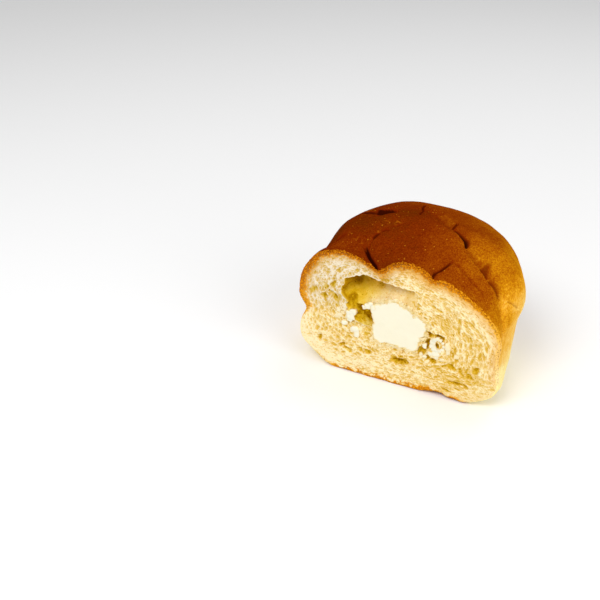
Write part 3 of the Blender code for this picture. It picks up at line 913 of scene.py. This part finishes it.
def face_shade_and_tone(face, from_edge, from_pocket, width, cell_depth, hole_depth, bright):
    """Painted shade and tone of the crumb: darker by the depth of its cells and holes, lighter at the
    pocket's torn edge, and by the place on the cut.
    """
    x, z = face[:, 0], face[:, 2]
    # Painted shade: darker in the holes and in the deeper cells
    in_hole = 0.32 * smooth(hole_depth / 0.7) + 0.62 * smooth(hole_depth / 3.2)
    high = smooth((z - 34) / 14) * fall((x - 4) / 30)
    below_crust = (0.08 + 0.14 * high) * fall((from_edge - width) / 5)
    right = smooth((x - 8) / 12)
    corner = smooth((x - 16) / 10) * smooth((20 - z) / 12)
    low = smooth((x + 12) / 10) * smooth((18 - z) / 8)
    # Painted highlight: lighter crumb along the pocket's torn edge, high on the cut
    fringe = 0.14 * fall(from_pocket / 1.6) * smooth((z - 30) / 4)
    crumb_shade_and_tone = 0.31 + np.clip(cell_depth / 1.8, 0, 0.6) - 0.52 * bright + in_hole + 0.13 * high + below_crust
    crumb_shade_and_tone = crumb_shade_and_tone + 0.08 * right + 0.10 * corner + 0.07 * low - fringe
    return np.clip(crumb_shade_and_tone, 0.0, 1.3)


def face_toast(face, from_edge, width, wander):
    """How far the crumb is toasted under the crust."""
    x, z = face[:, 0], face[:, 2]
    up = smooth((z - AXIS_Z) / 20)
    above_base = smooth((z - 6) / 8)
    reach = between(TOAST_SIDE, TOAST_TOP, up)
    toast = fall((from_edge + 0.8 * wander - 0.5 * width) / reach) * (0.7 + 0.3 * up)
    toast = toast * above_base * (0.5 + 0.5 * smooth((x + 14) / 12))
    base_toast = 0.6 * fall((from_edge + 0.5 * wander) / TOAST_BASE) * smooth((x - 2) / 8)
    return np.maximum(toast, base_toast * (1 - above_base)) * rim_fade(face)


def face_part(edge, rim, cells, holes):
    """The cut between the crust's edge and the pocket's rim: its points and their values."""
    share = (np.arange(1, FACE_RINGS) / FACE_RINGS)[:, None, None]
    face = (edge[None] * (1 - share) + rim[None] * share).reshape(-1, 3)
    x, z = face[:, 0], face[:, 2]
    from_edge = ring_gap(face, edge)
    tilt = axis_angle(x, z)
    width = rim_width(tilt)
    wander = 0.7 * noise(face, 2.4, 71, 2) + 0.9 * noise(face, 0.9, 73, 2)
    wander = wander + at_base(tilt) * (2.4 * noise(face, 1.3, 77, 2) + 0.5)
    in_rim = fall((from_edge + wander - 0.3 * width) / (1.1 * width)) * rim_fade(face)
    open_crumb = 0.25 + 0.75 * smooth((from_edge - 0.3 * width) / width)
    open_crumb = open_crumb * smooth(from_edge / 0.8)
    hole_depth = holes.read(x, z) * open_crumb
    cell_depth = cells.read(x, z) * open_crumb * (1 - 0.55 * smooth(hole_depth))
    roll = EDGE_ROLL * np.clip(1 - from_edge / EDGE_ROLL, 0, 1) ** 2
    sway = 0.25 * noise(face, 9.0, 83, 2) * smooth(from_edge / 4)
    grain = 0.10 * noise(face, 0.8, 81, 2) + 0.22 * noise(face, 0.75, 85, 2) * in_rim
    face[:, 1] = cell_depth + hole_depth + roll + grain + sway
    bright = cells.read(x, z, cells.second)
    return face, {
        "inside": 1.0,
        "rim": in_rim,
        "crumb_shade_and_tone": face_shade_and_tone(face, from_edge, ring_gap(face, rim), width, cell_depth, hole_depth, bright),
        "toast": face_toast(face, from_edge, width, wander),
        "cool": smooth((z - 27) / 10) * fall((x + 12) / 14),
        "ochre": 0.55 * smooth(hole_depth / 1.2),
    }


def make_bread(bread):
    """Crust, cut and pocket as one closed skin, in rings from the tip to the pocket's end."""
    angle = np.arange(SEGMENTS) * 360 / SEGMENTS
    cells, holes = crumb_field(), hole_field()

    def drop(points):
        return cells.read(points[:, 0], points[:, 2]) + holes.read(points[:, 0], points[:, 2])

    crust, on_crust = crust_part(angle)
    wall, on_wall = pocket_part(angle, drop)
    face, on_face = face_part(crust[-SEGMENTS:], wall[:SEGMENTS], cells, holes)
    bake = on_crust["bake"]
    on_face["bake"] = np.tile(bake[-SEGMENTS:], FACE_RINGS - 1)
    tip = np.array([[TIP_X, HALF_LENGTH, TIP_Z]])
    end = np.array([[AXIS_X, CREAM_DEPTH + CREAM_GAP, AXIS_Z]])
    # The pocket's end point gets a dark crumb value: painted shade deep in the pocket
    parts = ((tip, {"bake": bake[:1]}), (crust, on_crust), (face, on_face), (wall, on_wall),
             (end, {"inside": 1.0, "crumb_shade_and_tone": 0.7}))
    values = {name: np.concatenate([np.broadcast_to(some.get(name, 0.0), len(points))
                                    for points, some in parts]) for name in BREAD_VALUES}
    points = np.concatenate([points for points, _ in parts])
    rings = CRUST_RINGS + FACE_RINGS - 1 + POCKET_RINGS
    return mesh_object("bun_bread", points, ring_faces(rings, SEGMENTS), values, bread)


# The cream
CREAM_SEGMENTS = 360
CREAM_RINGS = 60
CREAM_FACE_RINGS = 60


def make_cream():
    """The filling: a rounded lump behind the cut, and its face, smeared towards the edge."""
    angle = np.arange(CREAM_SEGMENTS) * 360 / CREAM_SEGMENTS
    outline = cream_edge(angle)
    turns = [math.pi / 2 * (1 - ring / CREAM_RINGS) for ring in range(1, CREAM_RINGS + 1)]
    rows = [section_points(outline * math.cos(turn), angle, CREAM_DEPTH * math.sin(turn))
            for turn in turns]
    shares = [1 - ring / CREAM_FACE_RINGS for ring in range(1, CREAM_FACE_RINGS)]
    rows += [section_points(outline * share, angle, 0.0) for share in shares]
    body = np.concatenate(rows)
    front = body[:, 1] < 1e-6
    from_edge = np.tile(outline, len(rows)) - np.hypot(body[:, 0] - AXIS_X, body[:, 2] - AXIS_Z)
    round_off = 0.5 * np.clip(1 - from_edge / 0.9, 0, 1) ** 2
    wave = 0.10 * noise(body, 4.0, 95, 2) + 0.03 * noise(body, 0.9, 97, 2)
    body[:, 1] += np.where(front, round_off + wave, 0.0)
    smear = np.where(front, 1.1 * fall(from_edge / 1.8), 0.8)
    tip = np.array([[AXIS_X, CREAM_DEPTH, AXIS_Z]])
    middle = np.array([[AXIS_X, 0.0, AXIS_Z]])
    points = np.concatenate((tip, body, middle))
    values = {"smear": np.concatenate(([0.8], smear, [0.0]))}
    faces = ring_faces(len(rows), CREAM_SEGMENTS)
    return mesh_object("cream_filling", points, faces, values, cheese_finish("cream"))


# Crumb film: the pocket's floor, from the filling's edge up to the roof
FILM_SPAN = (38.0, 192.0)
FILM_STEPS = (420, 90)
# Angle, depth where the film leaves the filling, depth where it meets the roof
FILM_COURSE = (
    (38, 0.2, 0.5), (58, 0.2, 0.6), (64, 0.2, 1.0), (70, 0.2, 2.0), (80, 0.2, 3.8), (92, 0.2, 6.0),
    (110, 0.3, 9.5), (128, 0.4, 11.5), (140, 0.6, 11.0), (148, 1.0, 9.0), (154, 1.6, 5.5),
    (159, 3.0, 3.0), (164, 4.6, 1.4), (172, 5.4, 1.0), (182, 5.4, 0.9), (192, 4.0, 0.8),
)
# Dimples in the film: x, z, reach, depth; they are also darkened with painted shade
DIMPLES = ((-26.0, 37.4, 2.5, 1.2), (-26.0, 44.5, 2.6, 1.0), (-14.5, 45.5, 2.6, 0.8),
           (-20.0, 46.5, 1.6, 0.8), (-24.6, 35.6, 1.5, 0.8))


def crumb_values(crumb_shade_and_tone):
    """The mesh values of a piece that is crumb all over."""
    return {"crumb_shade_and_tone": crumb_shade_and_tone, "inside": np.ones(len(crumb_shade_and_tone))}


def sheet_faces(across, along):
    """Faces of a closed sheet: its outer side, its under side and the edge between them."""
    count = across * along
    row, column = np.meshgrid(np.arange(along - 1), np.arange(across - 1), indexing="ij")
    a = (row * across + column).ravel()
    b, c, d = a + 1, a + across + 1, a + across
    sides = np.concatenate((np.stack((a, d, c, b), -1), np.stack((a, b, c, d), -1) + count))
    edge = [*range(across), *range(2 * across - 1, count, across)]
    edge += [*range(count - 2, count - across - 1, -1), *range(count - 2 * across, 0, -across)]
    return sides.tolist() + [(p, q, count + q, count + p) for p, q in zip(edge, edge[1:] + edge[:1])]


def make_film(bread):
    """A closed sheet over the filling's top that closes the pocket behind it."""
    across, along = FILM_STEPS
    angle = np.tile(np.linspace(*FILM_SPAN, across), along)
    share = np.repeat(np.linspace(0, 1, along), across)
    course, first, last = np.array(FILM_COURSE, float).T
    start = np.interp(angle, course, first)
    stop = np.interp(angle, course, last)
    hole = smooth((angle - 158) / 7)
    along_hole = smooth((share - 0.45) / 0.4)
    behind = start + (stop - start) * (share * (1 - hole) + along_hole * hole)
    low = cream_edge(angle) * np.sqrt(np.clip(1 - (behind / CREAM_DEPTH) ** 2, 0, 1)) + 0.12
    roof = curve_radius(AIR_EDGE, angle) * taper(np.minimum(behind / AIR_DEPTH, 1.0), 2) + 0.9
    arch = 0.3 * share + 0.7 * share**3
    radius = low + np.maximum(roof - low, 0.1) * (arch * (1 - hole) + share * hole)
    outer = section_points(radius, angle, behind)
    bumps = noise(outer, 2.0, 101, 3) * smooth(share / 0.15)
    grains = noise(outer, 0.9, 104, 2) * (1 - 0.6 * smooth((share - 0.1) / 0.4))
    radius = np.maximum(radius + 0.50 * bumps + 0.25 * grains, low)
    outer = section_points(radius, angle, behind)
    gaps = [np.hypot(outer[:, 0] - x, outer[:, 2] - z) / reach for x, z, reach, _ in DIMPLES]
    dent = np.max([dimple[3] * np.clip(1 - gap**2, 0, 1) for dimple, gap in zip(DIMPLES, gaps)], axis=0)
    ragged = hole * along_hole
    outer[:, 1] += (0.3 + 1.2 * ragged) * bumps + 0.5 * ragged * grains + dent
    under = section_points(np.maximum(low - 0.04, radius - 1.6), angle, behind + 1.2)
    # Painted shade on the film: darker deeper in the pocket, under its roof, on its upper left, in its
    # hollows and dimples, and in the hole beside the filling
    left = smooth((-5 - outer[:, 0]) / 20)
    painted_roof_shade = smooth((share - 0.45) / 0.5) * smooth((angle - 64) / 22)
    outer_hole = smooth((share - 0.52) / 0.2)
    clumps = smooth((80 - angle) / 15) * smooth(noise(outer, 1.5, 107, 2) / 0.3)
    shade = 0.04 + 0.10 * smooth(share) + 0.12 * painted_roof_shade
    shade = shade + 0.34 * left * smooth(share / 0.6) + 0.20 * bumps
    shade = shade * (1 - hole) + hole * (1.15 - 0.6 * outer_hole + 0.9 * bumps) + 0.34 * dent
    shade = shade + 0.30 * clumps + 0.10 * smooth((95 - angle) / 20)
    ochre = np.clip(0.8 * left * smooth(share / 0.6) + hole * (1 - outer_hole), 0, 1)
    values = crumb_values(np.tile(shade, 2)) | {"ochre": np.tile(ochre, 2)}
    points = np.concatenate((outer, under))
    return mesh_object("crumb_film", points, sheet_faces(across, along), values, bread)


# Crumbs that stick to the filling's edge: from angle, to angle, how many
GRAIN_RUNS = ((20, 75, 70), (75, 130, 44), (-30, 20, 20), (-125, -45, 60), (-160, -125, 14))
GRAIN_SEED = 7
# A grain's subdivisions and number of points, and how far it stands out for its size
GRAIN_SUBDIVISIONS = 2
GRAIN_POINTS = 42
GRAIN_FRONT = 0.35


def joined(lumps):
    """Points and faces of many lumps as one mesh."""
    first = np.cumsum([0] + [len(points) for points, _ in lumps])
    faces = [face for (_, some), start in zip(lumps, first) for face in (some + start).tolist()]
    return np.concatenate([points for points, _ in lumps]), faces


def make_grains(bread):
    """Crumbs of bread along the edge of the filling, as one piece."""
    rng = np.random.default_rng(GRAIN_SEED)
    grains = []
    for start, stop, number in GRAIN_RUNS:
        for _ in range(number):
            angle = rng.uniform(start, stop)
            radius = float(curve_radius(CREAM_OUTLINE, np.array([angle]))[0]) + rng.normal(0.1, 0.6)
            size = rng.uniform(0.3, 0.85)
            x, _, z = section_points(np.array([radius]), np.array([angle]), 0.0)[0]
            wide, high = size * rng.uniform(0.8, 1.6), size * rng.uniform(0.7, 1.1)
            seed = GRAIN_POINTS * len(grains)
            grains.append(lump(x, z, wide, high, GRAIN_FRONT * size, seed, GRAIN_SUBDIVISIONS))
    points, faces = joined(grains)
    shade = 0.14 + 0.22 * noise(points, 1.8, 121, 2)
    return mesh_object("crumb_grains", points, faces, crumb_values(shade), bread)


# Cheese bits: x, z, half width, half height, how far each stands out of the cut
CHEESE_LUMPS = (
    (-25.7, 29.7, 2.2, 2.2, 0.9), (-24.6, 31.7, 1.7, 1.8, 0.7), (-26.0, 27.6, 1.4, 1.2, 0.5),
    (-28.4, 25.4, 1.6, 1.3, 0.8), (-23.4, 23.4, 2.0, 1.6, 0.8), (-22.3, 20.9, 1.2, 1.8, 0.5),
    (-24.6, 22.2, 1.1, 1.1, 0.4), (-31.0, 28.6, 1.3, 1.0, 0.3), (-32.6, 27.6, 0.9, 0.7, 0.2),
    (-29.6, 30.2, 0.8, 0.8, 0.2), (-17.6, 36.6, 1.6, 1.4, 0.8), (-16.2, 38.0, 1.2, 1.1, 0.6),
    (-19.2, 35.6, 1.1, 1.0, 0.5), (-15.2, 36.7, 1.3, 1.4, 0.5), (9.8, 24.1, 1.1, 1.2, 0.6),
    (15.2, 21.5, 1.7, 1.2, 0.8), (12.8, 20.9, 1.2, 1.0, 0.6), (15.6, 19.6, 1.1, 0.9, 0.4),
    (10.2, 18.6, 1.1, 0.7, 0.4), (8.6, 19.5, 0.8, 0.7, 0.4), (20.2, 26.4, 1.2, 2.0, 0.4),
    (20.6, 23.6, 1.0, 1.2, 0.3), (18.2, 19.2, 1.0, 0.8, 0.3), (24.6, 22.6, 1.1, 0.9, 0.2),
    (13.6, 27.9, 0.9, 0.8, 0.5),
)
# The ring-shaped bit: x, z, half width, half height, number of lumps
RING_BIT = (15.9, 26.0, 2.5, 3.0, 11)


def lump(x, z, half_width, half_height, stands_out, seed, subdivisions=4):
    """Points and faces of one uneven crumb, half sunk in the cut."""
    mesh = bpy.data.meshes.new("lump")
    work = bmesh.new()
    bmesh.ops.create_icosphere(work, subdivisions=subdivisions, radius=1.0)
    work.to_mesh(mesh)
    work.free()
    points = np.array([vertex.co for vertex in mesh.vertices])
    faces = np.array([face.vertices[:] for face in mesh.polygons])
    bpy.data.meshes.remove(mesh)
    swell = 1 + 0.45 * noise(points + seed * 7.3, 0.9, 111, 3)
    blocky = points / np.maximum(np.abs(points).max(axis=1), 0.72)[:, None]
    points = (0.6 * points + 0.4 * blocky) * swell[:, None]
    thick = 0.5 * (half_width + half_height)
    points = points * (half_width, thick, half_height)
    front = 0.7 * stands_out / thick
    points[:, 1] = np.where(points[:, 1] < 0, points[:, 1] * front, points[:, 1])
    return points + (x, 0.15, z), faces


def make_bits():
    """All the cheese bits as one piece."""
    x, z, half_width, half_height, number = RING_BIT
    bits = list(CHEESE_LUMPS)
    for turn in (2 * math.pi * i / number for i in range(number)):
        thick = 0.95 - 0.35 * math.cos(turn - 0.3)
        place = (x + half_width * math.cos(turn), z + half_height * math.sin(turn))
        bits.append((*place, thick, thick, 0.6))
    points, faces = joined([lump(*bit, seed) for seed, bit in enumerate(bits)])
    values = {"smear": smooth((points[:, 1] + 0.4) / 0.5)}
    return mesh_object("cheese_bits", points, faces, values, cheese_finish("cheese bits"))


# Camera and light
CAMERA_AZIMUTH = 28.0
CAMERA_ELEVATION = 29.0
CAMERA_PLACE = (109.33, -302.14, 220.68)
SENSOR_MM = 36.0
PHOTO_PIXELS = 600
FOCAL_PIXELS = 850
FLOOR_HALF_WIDTH = 4.0
PAPER = (0.94, 0.94, 0.94, 1.0)
WORLD_STRENGTH = 0.52
LIT_PLACE = (0.0, 0.0, 0.035)
# Lights: name, place, size, power
LIGHTS = (
    ("key", (-0.15, -0.75, 0.85), 0.6, 6.2),
    ("fill", (0.8, -0.35, 0.5), 0.8, 3.2),
    ("top", (0.1, 0.5, 0.9), 0.6, 1.5),
)


def add_camera():
    data = bpy.data.cameras.new("camera")
    data.sensor_width = SENSOR_MM
    data.lens = FOCAL_PIXELS / PHOTO_PIXELS * SENSOR_MM
    item = add_object("camera", data)
    item.location = placed(CAMERA_PLACE)
    item.rotation_euler = (math.radians(90 - CAMERA_ELEVATION), 0.0, math.radians(CAMERA_AZIMUTH))
    bpy.context.scene.camera = item


def add_area_light(name, place, size, power):
    data = bpy.data.lights.new(name, "AREA")
    data.shape = "DISK"
    data.size = size
    data.energy = power
    item = add_object(name, data)
    item.location = place
    item.rotation_euler = (Vector(LIT_PLACE) - Vector(place)).to_track_quat("-Z", "Y").to_euler()


def add_studio():
    """A pale floor, soft white surroundings and the lights."""
    size = FLOOR_HALF_WIDTH
    mesh = bpy.data.meshes.new("floor")
    corners = [(-size, -size), (size, -size), (size, size), (-size, size)]
    mesh.from_pydata([(x, y, bun_low[2]) for x, y in corners], [], [(0, 1, 2, 3)])
    paper = Finish("pale paper", Roughness=0.9, Specular_IOR_Level=0.2, Base_Color=PAPER)
    mesh.materials.append(paper.material)
    add_object("floor", mesh)

    world = bpy.data.worlds.new("soft white")
    world.use_nodes = True
    surroundings = world.node_tree.nodes["Background"]
    surroundings.inputs["Color"].default_value = (1.0, 1.0, 1.0, 1.0)
    surroundings.inputs["Strength"].default_value = WORLD_STRENGTH
    bpy.context.scene.world = world
    for light in LIGHTS:
        add_area_light(*light)
    bpy.context.scene.view_settings.view_transform = "Standard"


def place_piece(item, replaced=None):
    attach(item, "root")
    if replaced:
        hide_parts(replaced)


bread_material = bread_finish()
place_piece(make_bread(bread_material), "bun")
place_piece(make_cream(), "cream")
place_piece(make_film(bread_material))
place_piece(make_grains(bread_material))
place_piece(make_bits())
add_camera()
add_studio()
